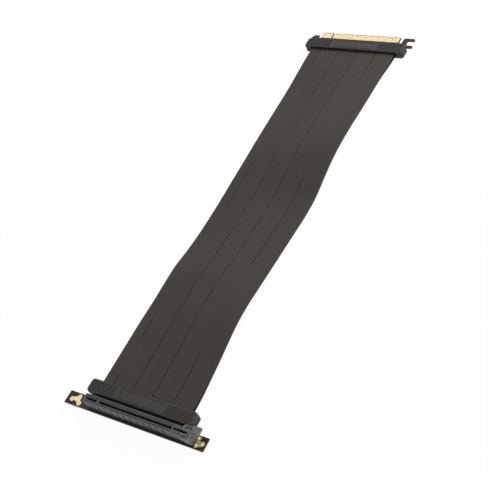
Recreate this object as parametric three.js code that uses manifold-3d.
// A riser cable for a graphics card: a card slot on a small board at one end, a finger edge board
// at the other, and a flat cable of ten screened strips between them, five on each face of the boards.
// Millimetres, +Z up. X runs along the slot, Y runs from the slot end to the plug end.
// The origin is on the underside of the slot board, under the middle of the slot's centre line.
import * as THREE from 'three';
import { mergeVertices } from 'three/addons/utils/BufferGeometryUtils.js';
import Module from 'manifold-3d';

const wasm = await Module();
wasm.setup();

// Clearances
const seat = 0.3;                 // gap between pieces that touch
const cutOver = 1;                // how far a cutting body passes the face it cuts

// Boards
const boardThick = 1.6;
const slotBoardLength = 139.6;     // along X, over both end tabs
const slotBoardFront = 5.8;       // from the slot's centre line to the front edge
const slotBoardRear = 5.5;        // the same to the rear edge of the end tabs
const stemMargin = 2.8;           // board beside the cable, on the stem that runs under the covers
const stemCorner = 1.2;
const tabHole = 3.2;              // plated screw holes, three in a cluster at each end
const holeSpread = 2.6;           // from the middle of a cluster to its holes
const holeClusterIn = 9.6;        // from the end of the board to the middle of a cluster

// Card slot
const keyX = -30.5;               // middle of the key bar
const keyWidth = 1.65;
const shortSection = 11.65;       // slot length on the key's left
const longSection = 72.85;        // slot length on its right, to the end wall
const slotWide = 1.9;
const slotDeep = 8.4;
const housingWide = 7.5;
const housingHigh = 11.25;
const housingEndWall = 2;         // plastic left of the short section
const cardWallThick = 1.2;        // wall between the long section and the hook gap
const hookGapLength = 6.6;        // open top gap for the card's hook, in the housing
const leadInWide = 3.9;           // chamfered mouth over the slot
const leadInDeep = 0.9;
const rimGrooveOffset = 2.45;     // fine groove between lead-in and outer rim
const rimGrooveWide = 0.45;
const rimGrooveDeep = 0.7;
const cellPitch = 2;              // contact cells in the walls of the slot, drawn two contacts to a cell
const cellWide = 1.3;
const cellDeep = 0.55;            // into the wall
const cellTop = 1.5;              // below the rim
const cellHigh = 4.6;
const slitCount = 12;             // mould slits on the front and rear faces
const slitPitch = 6.5;
const slitWide = 0.9;
const slitDeep = 0.5;
const slitLow = 5.2;
const slitHigh = 9.4;
const ribPitch = 2;               // ribs between the contact tails along the foot
const ribSlotWide = 0.9;
const ribSlotDeep = 0.7;
const ribSlotHigh = 3.4;

// Retention latch
const pivotPast = 5.025;          // latch axis, past the end of the housing's hook gap
const pivotUp = 3.3;              // above the board's top
const pinRadius = 1.1;
const tongueRadius = 2.5;         // round end of the housing's tongue, about the pivot
const tongueWide = 4.4;
const latchPast = 0.625;          // where the latch begins, past the end of the housing
const latchEndThick = 2;
const latchReach = 2.8;           // from the pivot to the inner face of the end wall
const latchFrontWall = 4.6;       // front face of the latch, from the slot's centre line
const latchRearWall = 6.2;
const latchCavityWide = 2.2;      // the gap for the card's hook between the arms, at the top
const thumbLength = 6;            // press tab past the end wall
const thumbWide = 5.8;
const thumbThick = 2.2;
const thumbRear = 7.3;

// Clamp covers, alike at both ends
const coverSide = 4.2;            // cover beside the board's stem
const coverDeep = 12.6;
const coverHalf = 4.6;            // half the thickness of a closed pair
const coverWall = 1.6;
const coverCorner = 4.6;          // cut corners in plan
const coverBevel = 0.8;
const gripCount = 5;
const gripPitch = 1.95;
const gripWide = 0.8;
const gripDeep = 0.5;
const gripLength = 25.5;
const gripInset = 2;              // from the side of the cover to the end of a groove
const gripFirst = 2.2;            // from the cover's front edge to the first groove
const panelWide = 41.5;
const panelGroove = 0.5;
const panelMargin = 1.5;
const pegRadius = 1.2;
const pegLength = 2.2;
const mouthHigh = 2.6;            // cable mouth of a cover, from the board's mid plane
const lipHigh = 3.4;              // under the overhanging lip outside the mouth
const lipDeep = 2.4;

// Cable
const stripWidths = [10.2, 19.6, 19.6, 19.6, 19.6];
const stripGap = 0.45;
const stripThick = 0.9;
const cableRest = 0.3;            // strip to board
const cableSamples = 72;
const solderLength = 5;           // of each strip on its board

// Ends along Y
const slotCoverFront = 7.6;       // front edge of the slot end's covers
const cableFree = 400;            // cable between the two pairs of covers, straight
const stemInset = 3.1;            // from the cable side of a cover pair to the end of the board inside
const pottingLength = 2.3;        // bead across the solder joints
const pottingThick = 1.6;
const pottingEdge = 0.5;

// Plug board
const fingerTabDeep = 8.25;
const plugBoardPastCover = 4.6;   // board between the cover and the finger tab
const fingerNotch = 1.9;
const fingerShort = 11.65;
const fingerLong = 71.65;
const fingerBevel = 1.2;
const padPitch = 1;
const padFirst = 0.65;            // from the key notch to the middle of the first pad
const padWide = 0.7;
const padLength = 5.2;
const padThick = 0.1;
const padInset = 1.2;
const earWide = 7.2;              // left shoulder ear
const earGap = 3.2;               // notch between the ear and the finger tab
const earReach = 3.6;
const hookGap = 3.4;              // notch between the tab and the hook
const hookStemWide = 6;
const hookReach = 5.6;
const hookBack = 1.2;             // from the tab's tip to the hook's upper arm
const hookArm = 2.8;
const hookLowerReach = 6.4;
const hookOpening = 6.6;          // between the hook's two arms

// Worked out once
const boardTop = boardThick;
const boardMid = boardThick / 2;
const slotLeft = keyX - keyWidth / 2 - shortSection;
const slotRight = keyX + keyWidth / 2 + longSection;
const housingLeft = slotLeft - housingEndWall;
const housingRight = slotRight + cardWallThick + hookGapLength;
const housingBase = boardTop + seat;
const housingTop = boardTop + housingHigh;
const pivotX = housingRight + pivotPast;
const latchLeft = housingRight + latchPast;
const slotCoverRear = slotCoverFront + coverDeep;
const plugCoverFront = slotCoverRear + cableFree;
const plugCoverRear = plugCoverFront + coverDeep;
const slotStemEnd = slotCoverRear - stemInset;
const plugStemStart = plugCoverFront + stemInset;
const cableWidth = stripWidths.reduce((sum, width) => sum + width, 0) + stripGap * (stripWidths.length - 1);
const stemWidth = cableWidth + 2 * stemMargin;
const coverWide = stemWidth + 2 * coverSide;

// Solids
function solidOf(geometry) {
  const bare = geometry.index ? geometry.toNonIndexed() : geometry.clone();
  for (const name of Object.keys(bare.attributes)) {
    if (name !== 'position') bare.deleteAttribute(name);
  }
  const merged = mergeVertices(bare, 1e-4);
  return new wasm.Manifold(new wasm.Mesh({
    numProp: 3,
    vertProperties: new Float32Array(merged.attributes.position.array),
    triVerts: new Uint32Array(merged.index.array),
  }));
}

function geometryOf(solid) {
  const mesh = solid.getMesh();
  const geometry = new THREE.BufferGeometry();
  geometry.setAttribute('position', new THREE.BufferAttribute(new Float32Array(mesh.vertProperties), 3));
  geometry.setIndex(new THREE.BufferAttribute(new Uint32Array(mesh.triVerts), 1));
  return geometry;
}

function box(x0, x1, y0, y1, z0, z1) {
  const geometry = new THREE.BoxGeometry(x1 - x0, y1 - y0, z1 - z0);
  geometry.translate((x0 + x1) / 2, (y0 + y1) / 2, (z0 + z1) / 2);
  return solidOf(geometry);
}

function outline(points) {
  return new THREE.Shape(points.map(([x, y]) => new THREE.Vector2(x, y)));
}

// A plan outline raised from z0 to z1
function plate(shape, z0, z1, curveSegments = 6) {
  const geometry = new THREE.ExtrudeGeometry(shape, { depth: z1 - z0, bevelEnabled: false, curveSegments });
  geometry.translate(0, 0, z0);
  return solidOf(geometry);
}

// A profile in Y and Z, drawn as (y, z), run along X from x0 to x1
function runAlongX(shape, x0, x1, curveSegments = 6) {
  const geometry = new THREE.ExtrudeGeometry(shape, { depth: x1 - x0, bevelEnabled: false, curveSegments });
  geometry.rotateX(Math.PI / 2);
  geometry.rotateZ(Math.PI / 2);
  geometry.translate(x0, 0, 0);
  return solidOf(geometry);
}

// A profile in X and Z, drawn as (x, z), run along Y from y0 to y1
function runAlongY(shape, y0, y1, curveSegments = 8) {
  const geometry = new THREE.ExtrudeGeometry(shape, { depth: y1 - y0, bevelEnabled: false, curveSegments });
  geometry.rotateX(Math.PI / 2);
  geometry.translate(0, y1, 0);
  return solidOf(geometry);
}

function post(x, y, radius, z0, z1, sides = 16) {
  const geometry = new THREE.CylinderGeometry(radius, radius, z1 - z0, sides);
  geometry.rotateX(Math.PI / 2);
  geometry.translate(x, y, (z0 + z1) / 2);
  return solidOf(geometry);
}

function pinAlongY(x, z, radius, y0, y1, sides = 16) {
  const geometry = new THREE.CylinderGeometry(radius, radius, y1 - y0, sides);
  geometry.translate(x, (y0 + y1) / 2, z);
  return solidOf(geometry);
}

function joinAll(solids) {
  return wasm.Manifold.union(solids);
}

function range(count) {
  return [...Array(count).keys()];
}

// Slot board: end tabs with plated hole clusters, and a stem that runs back under the covers
function slotBoard() {
  const half = slotBoardLength / 2;
  const stem = stemWidth / 2;
  const shape = outline([
    [-half, -slotBoardFront], [half, -slotBoardFront], [half, slotBoardRear], [stem, slotBoardRear],
    [stem, slotStemEnd - stemCorner], [stem - stemCorner, slotStemEnd],
    [-stem + stemCorner, slotStemEnd], [-stem, slotStemEnd - stemCorner],
    [-stem, slotBoardRear], [-half, slotBoardRear],
  ]);
  const holes = [];
  for (const side of [-1, 1]) {
    const middle = side * (half - holeClusterIn);
    for (const [along, across] of [[1, 0], [-0.7, 1], [-0.7, -1]]) {
      holes.push(post(middle + side * along * holeSpread, across * holeSpread, tabHole / 2,
        -cutOver, boardTop + cutOver));
    }
  }
  return plate(shape, 0, boardTop).subtract(joinAll(holes));
}

// Slot housing: one moulding with the card slot, contact cells, mould slits, foot ribs and latch tongue
function slotHousing() {
  const halfWide = housingWide / 2;
  const chamfer = 0.3;
  const section = outline([
    [-halfWide, housingBase], [halfWide, housingBase], [halfWide, housingTop - chamfer],
    [halfWide - chamfer, housingTop], [-halfWide + chamfer, housingTop], [-halfWide, housingTop - chamfer],
  ]);
  const pivotZ = boardTop + pivotUp;
  const tongue = new THREE.Shape();
  tongue.moveTo(housingRight - 1, housingBase);
  tongue.lineTo(pivotX, housingBase);
  tongue.absarc(pivotX, pivotZ, Math.min(tongueRadius, pivotZ - housingBase), -Math.PI / 2, Math.PI / 2, false);
  tongue.lineTo(housingRight - 1, pivotZ + tongueRadius);
  tongue.closePath();
  const body = joinAll([
    runAlongX(section, housingLeft, housingRight),
    runAlongY(tongue, -tongueWide / 2, tongueWide / 2),
  ]);

  const slotFloor = housingTop - slotDeep;
  const slotSection = outline([
    [-slotWide / 2, slotFloor], [slotWide / 2, slotFloor], [slotWide / 2, housingTop - leadInDeep],
    [leadInWide / 2, housingTop], [leadInWide / 2, housingTop + cutOver],
    [-leadInWide / 2, housingTop + cutOver], [-leadInWide / 2, housingTop],
    [-slotWide / 2, housingTop - leadInDeep],
  ]);
  const cuts = [
    runAlongX(slotSection, slotLeft, keyX - keyWidth / 2),
    runAlongX(slotSection, keyX + keyWidth / 2, slotRight),
    box(slotRight + cardWallThick, housingRight + cutOver, -slotWide / 2, slotWide / 2,
      slotFloor, housingTop + cutOver),
  ];
  for (const side of [-1, 1]) {
    const middle = side * (rimGrooveOffset);
    cuts.push(box(slotLeft, slotRight, middle - rimGrooveWide / 2, middle + rimGrooveWide / 2,
      housingTop - rimGrooveDeep, housingTop + cutOver));
  }
  const sections = [[slotLeft, keyX - keyWidth / 2], [keyX + keyWidth / 2, slotRight]];
  for (const [from, to] of sections) {
    const count = Math.floor((to - from) / cellPitch);
    const start = (from + to - (count - 1) * cellPitch) / 2;
    for (const index of range(count)) {
      const x = start + index * cellPitch;
      cuts.push(box(x - cellWide / 2, x + cellWide / 2, -slotWide / 2 - cellDeep, slotWide / 2 + cellDeep,
        housingTop - cellTop - cellHigh, housingTop - cellTop));
    }
  }
  const slitStart = (slotLeft + slotRight - (slitCount - 1) * slitPitch) / 2;
  for (const index of range(slitCount)) {
    const x = slitStart + index * slitPitch;
    for (const side of [-1, 1]) {
      cuts.push(box(x - slitWide / 2, x + slitWide / 2,
        Math.min(side * (halfWide - slitDeep), side * (halfWide + cutOver)),
        Math.max(side * (halfWide - slitDeep), side * (halfWide + cutOver)),
        housingBase + slitLow, housingBase + slitHigh));
    }
  }
  const ribCount = Math.floor((slotRight - slotLeft) / ribPitch);
  const ribStart = (slotLeft + slotRight - (ribCount - 1) * ribPitch) / 2;
  for (const index of range(ribCount)) {
    const x = ribStart + index * ribPitch;
    for (const side of [-1, 1]) {
      cuts.push(box(x - ribSlotWide / 2, x + ribSlotWide / 2,
        Math.min(side * (halfWide - ribSlotDeep), side * (halfWide + cutOver)),
        Math.max(side * (halfWide - ribSlotDeep), side * (halfWide + cutOver)),
        housingBase - cutOver, housingBase + ribSlotHigh));
    }
  }
  cuts.push(pinAlongY(pivotX, pivotZ, pinRadius + seat, -housingWide, housingWide));
  return body.subtract(joinAll(cuts));
}

// Retention latch: two arms and an end wall around the tongue, a hook gap at the top and a press tab
function retentionLatch() {
  const pivotZ = boardTop + pivotUp;
  const inner = pivotX + latchReach;
  const outer = inner + latchEndThick;
  const foot = pivotZ - 1.4;
  const side = outline([
    [latchLeft, housingTop - 3.2], [latchLeft, housingTop], [outer, housingTop],
    [outer, foot], [outer - 0.8, foot - 0.5], [pivotX - 1.2, foot - 0.5],
  ]);
  const arms = runAlongY(side, -latchFrontWall, latchRearWall);
  const innerHalf = tongueWide / 2 + seat;
  const well = box(latchLeft - cutOver, inner, -innerHalf, innerHalf, 0, pivotZ + tongueRadius + 1);
  const hookGap = box(latchLeft - cutOver, pivotX + latchReach - 1.2, -latchCavityWide / 2, latchCavityWide / 2,
    pivotZ, housingTop + cutOver);
  const taper = 2.2;
  const rearFlare = plate(outline([
    [latchLeft - cutOver, halfPlus(0)], [latchLeft + taper, latchRearWall + cutOver],
    [latchLeft - cutOver, latchRearWall + cutOver],
  ]), 0, housingTop + cutOver);
  const thumb = box(outer - 0.5, outer + thumbLength, thumbRear - thumbWide, thumbRear,
    housingTop - thumbThick, housingTop);
  const pins = [
    pinAlongY(pivotX, pivotZ, pinRadius, -innerHalf - 0.5, -innerHalf + 1.3),
    pinAlongY(pivotX, pivotZ, pinRadius, innerHalf - 1.3, innerHalf + 0.5),
  ];
  return joinAll([arms.subtract(joinAll([well, hookGap, rearFlare])), thumb, ...pins]);
}

function halfPlus(extra) {
  return housingWide / 2 + extra;
}

// One cover of a clamp pair, drawn as the upper one with its cable mouth towards +Y
function cover(isLower) {
  const half = coverWide / 2;
  const plan = (inset) => outline([
    [-half + coverCorner + inset * 0.4, inset], [half - coverCorner - inset * 0.4, inset],
    [half - inset, coverCorner + inset * 0.4], [half - inset, coverDeep - coverCorner - inset * 0.4],
    [half - coverCorner - inset * 0.4, coverDeep - inset], [-half + coverCorner + inset * 0.4, coverDeep - inset],
    [-half + inset, coverDeep - coverCorner - inset * 0.4], [-half + inset, coverCorner + inset * 0.4],
  ]);
  const seam = seat / 2;
  const outer = joinAll([
    plate(plan(0), seam, coverHalf - coverBevel),
    plate(plan(coverBevel / 2), coverHalf - coverBevel - 0.01, coverHalf - coverBevel / 2),
    plate(plan(coverBevel), coverHalf - coverBevel / 2 - 0.01, coverHalf),
  ]);
  const stem = stemWidth / 2 + seat;
  const cuts = [
    box(-stem, stem, coverWall, coverDeep - coverWall, -cutOver, coverHalf - coverWall),
    box(-stem, stem, -cutOver, coverDeep, -cutOver, boardThick / 2 + seat),
    box(-cableWidth / 2 - seat, cableWidth / 2 + seat, coverDeep / 2, coverDeep + cutOver, -cutOver, mouthHigh),
    box(-cableWidth / 2 - seat, cableWidth / 2 + seat, coverDeep - lipDeep, coverDeep + cutOver,
      -cutOver, lipHigh),
  ];
  for (const side of [-1, 1]) {
    const x0 = side < 0 ? -half + gripInset : half - gripInset - gripLength;
    for (const index of range(gripCount)) {
      const y = gripFirst + index * gripPitch;
      cuts.push(box(x0, x0 + gripLength, y - gripWide / 2, y + gripWide / 2,
        coverHalf - gripDeep, coverHalf + cutOver));
    }
  }
  const panelFrame = box(-panelWide / 2, panelWide / 2, panelMargin, coverDeep - panelMargin,
    coverHalf - panelGroove, coverHalf + cutOver)
    .subtract(box(-panelWide / 2 + panelGroove, panelWide / 2 - panelGroove, panelMargin + panelGroove,
      coverDeep - panelMargin - panelGroove, 0, coverHalf + 2 * cutOver));
  cuts.push(panelFrame);
  let body = outer.subtract(joinAll(cuts));
  const pegX = half - (half - stem) / 2;
  const pegY = coverDeep / 2;
  for (const x of [-pegX, pegX]) {
    body = isLower
      ? body.subtract(post(x, pegY, pegRadius + seat, -cutOver, seam + pegLength + seat))
      : body.add(post(x, pegY, pegRadius, seam - seat - pegLength, seam + 0.5));
  }
  return body;
}

// Potting over the solder joints, laid on one face of a board
function potting() {
  const half = cableWidth / 2 - pottingEdge;
  const section = outline([
    [0, 0], [pottingLength, 0], [pottingLength - 0.4, pottingThick], [0.8, pottingThick],
  ]);
  return runAlongX(section, -half, half);
}

// Plug board: finger tab with key notch and pads, left ear, and the forked hook on the right
function plugBoard() {
  const tabBase = plugCoverRear + plugBoardPastCover;
  const tabTip = tabBase + fingerTabDeep;
  const notchLeft = keyX - fingerNotch / 2;
  const notchRight = keyX + fingerNotch / 2;
  const tabLeft = notchLeft - fingerShort;
  const tabRight = notchRight + fingerLong;
  const stem = stemWidth / 2;
  const earRight = tabLeft - earGap;
  const earLeft = earRight - earWide;
  const hookLeft = tabRight + hookGap;
  const hookRight = hookLeft + hookStemWide;
  const lowerArmTop = tabTip - hookBack - hookArm - hookOpening;
  const shape = outline([
    [-stem, plugStemStart], [stem, plugStemStart], [stem, lowerArmTop - hookArm + 1],
    [stem + 1, lowerArmTop - hookArm], [hookRight + hookLowerReach - 1, lowerArmTop - hookArm],
    [hookRight + hookLowerReach, lowerArmTop - hookArm + 1], [hookRight + hookLowerReach, lowerArmTop - 0.6],
    [hookRight + hookLowerReach - 0.6, lowerArmTop], [hookRight, lowerArmTop],
    [hookRight - 1.2, lowerArmTop + 1.2], [hookRight - 1.2, lowerArmTop + hookOpening - 0.6],
    [hookRight - 0.6, lowerArmTop + hookOpening], [hookRight + hookReach - 0.9, lowerArmTop + hookOpening],
    [hookRight + hookReach, lowerArmTop + hookOpening + 0.9],
    [hookRight + hookReach, lowerArmTop + hookOpening + hookArm - 0.9],
    [hookRight + hookReach - 0.9, lowerArmTop + hookOpening + hookArm],
    [hookLeft + 1.4, lowerArmTop + hookOpening + hookArm], [hookLeft, lowerArmTop + hookOpening + hookArm - 1.4],
    [hookLeft, tabBase], [tabRight, tabBase],
    [tabRight, tabTip - 0.8], [tabRight - 0.8, tabTip],
    [notchRight + 0.5, tabTip], [notchRight, tabTip - 0.5], [notchRight, tabBase + 1],
    [notchRight - fingerNotch / 2, tabBase + 0.2], [notchLeft, tabBase + 1],
    [notchLeft, tabTip - 0.5], [notchLeft - 0.5, tabTip],
    [tabLeft + 0.8, tabTip], [tabLeft, tabTip - 0.8], [tabLeft, tabBase],
    [earRight, tabBase], [earRight, tabBase + earReach], [earLeft + 2.4, tabBase + earReach],
    [earLeft, tabBase + earReach - 2.8], [earLeft, plugCoverRear + 0.6], [-stem, plugCoverRear + 0.6],
  ]);
  const bevelTop = runAlongX(outline([
    [tabTip - fingerBevel, boardTop + padThick + 0.01], [tabTip + cutOver, boardTop + padThick + 0.01],
    [tabTip + cutOver, boardTop - fingerBevel / 3],
    [tabTip, boardTop - fingerBevel / 3],
  ]), tabLeft - cutOver, tabRight + cutOver);
  const bevelLow = bevelTop.mirror([0, 0, 1]).translate([0, 0, boardTop]);
  const padsOn = (section) => range(Math.floor((section - padFirst - padWide / 2) / padPitch) + 1);
  const padPlaces = [
    ...padsOn(fingerShort).map((index) => notchLeft - padFirst - index * padPitch),
    ...padsOn(fingerLong).map((index) => notchRight + padFirst + index * padPitch),
  ];
  const pads = padPlaces.map((x) => box(x - padWide / 2, x + padWide / 2, tabTip - padInset - padLength,
    tabTip - padInset, -padThick, boardTop + padThick));
  return plate(shape, 0, boardTop).subtract(joinAll([bevelTop, bevelLow])).add(joinAll(pads));
}

// The cable's height over its length: free waves between the two clamps, flat where it enters them
const cableStart = slotStemEnd - solderLength;
const cableEnd = plugStemStart + solderLength;
const exitFlat = 6;               // straight run out of each clamp
const fallLength = 40;            // over which the cable comes down to the surface
const layerGap = 0.3;             // between the two layers where they lie free
const restHeight = 0.05;          // of the lower layer over the surface the part lies on
const waveHigh = 3.2;
const waveCount = 2.5;

function rise(y, isLower) {
  const from = slotCoverRear + exitFlat;
  const to = plugCoverFront - exitFlat;
  const t = THREE.MathUtils.clamp((y - from) / (to - from), 0, 1);
  const near = THREE.MathUtils.smoothstep(y, from, from + fallLength);
  const far = THREE.MathUtils.smoothstep(to - y, 0, fallLength);
  const lowest = -cableRest - stripThick - (boardMid - coverHalf) - restHeight;
  const fall = isLower ? lowest : lowest + boardTop + 2 * cableRest - layerGap;
  const wave = waveHigh * (1 - Math.cos(2 * Math.PI * waveCount * t)) / 2 * Math.sin(Math.PI * t) ** 2;
  return wave - fall * Math.min(near, far);
}

// One strip, run along its route as a flat section
function strip(index, isLower) {
  const left = -cableWidth / 2 + stripWidths.slice(0, index).reduce((sum, width) => sum + width + stripGap, 0);
  const width = stripWidths[index];
  const level = isLower ? -cableRest - stripThick / 2 : boardTop + cableRest + stripThick / 2;
  const points = range(cableSamples + 1).map((step) => {
    const y = cableStart + (cableEnd - cableStart) * step / cableSamples;
    return [y, level + rise(y, isLower)];
  });
  const under = points.map(([y, z]) => [y, z - stripThick / 2]);
  const over = points.map(([y, z]) => [y, z + stripThick / 2]).reverse();
  const geometry = new THREE.ExtrudeGeometry(outline([...under, ...over]), { depth: width, bevelEnabled: false });
  geometry.rotateX(Math.PI / 2);
  geometry.rotateZ(Math.PI / 2);
  geometry.translate(left, 0, 0);
  return geometry;
}

const plastics = {
  board: new THREE.MeshStandardMaterial({ color: 0x1c1a17, roughness: 0.45, metalness: 0 }),
  housing: new THREE.MeshStandardMaterial({ color: 0x4a4a4c, roughness: 0.5, metalness: 0 }),
  latch: new THREE.MeshStandardMaterial({ color: 0x5d5c5e, roughness: 0.5, metalness: 0 }),
  cover: new THREE.MeshStandardMaterial({ color: 0x35322f, roughness: 0.6, metalness: 0 }),
  cable: new THREE.MeshStandardMaterial({ color: 0x3b3733, roughness: 0.65, metalness: 0 }),
  potting: new THREE.MeshStandardMaterial({ color: 0x181818, roughness: 0.4, metalness: 0 }),
};

const riserCable = new THREE.Group();

function add(name, source, material, place = [0, 0, 0], turn = [0, 0, 0]) {
  const geometry = source.isBufferGeometry ? source : geometryOf(source);
  const mesh = new THREE.Mesh(geometry, material);
  mesh.name = name;
  mesh.position.set(...place);
  mesh.rotation.set(...turn);
  riserCable.add(mesh);
}

add('slot_board', slotBoard(), plastics.board);
add('slot_housing', slotHousing(), plastics.housing);
add('retention_latch', retentionLatch(), plastics.latch);
add('slot_upper_cover', cover(false), plastics.cover, [0, slotCoverFront, boardMid]);
add('slot_lower_cover', cover(true), plastics.cover, [0, slotCoverFront, boardMid], [0, Math.PI, 0]);
add('plug_upper_cover', cover(false), plastics.cover, [0, plugCoverRear, boardMid], [0, 0, Math.PI]);
add('plug_lower_cover', cover(true), plastics.cover, [0, plugCoverRear, boardMid], [Math.PI, 0, 0]);
add('plug_board', plugBoard(), plastics.board);
const pottingBack = slotStemEnd - solderLength - seat;
const pottingFront = plugStemStart + solderLength + seat;
add('slot_upper_potting', potting(), plastics.potting, [0, pottingBack - pottingLength, boardTop + seat]);
add('slot_lower_potting', potting(), plastics.potting, [0, pottingBack, -seat], [Math.PI, 0, 0]);
add('plug_upper_potting', potting(), plastics.potting, [0, pottingFront, boardTop + seat]);
add('plug_lower_potting', potting(), plastics.potting, [0, pottingFront + pottingLength, -seat], [Math.PI, 0, 0]);
for (const index of range(stripWidths.length)) {
  add(`cable_upper_${index + 1}`, strip(index, false), plastics.cable);
  add(`cable_lower_${index + 1}`, strip(index, true), plastics.cable);
}

export default riserCable;
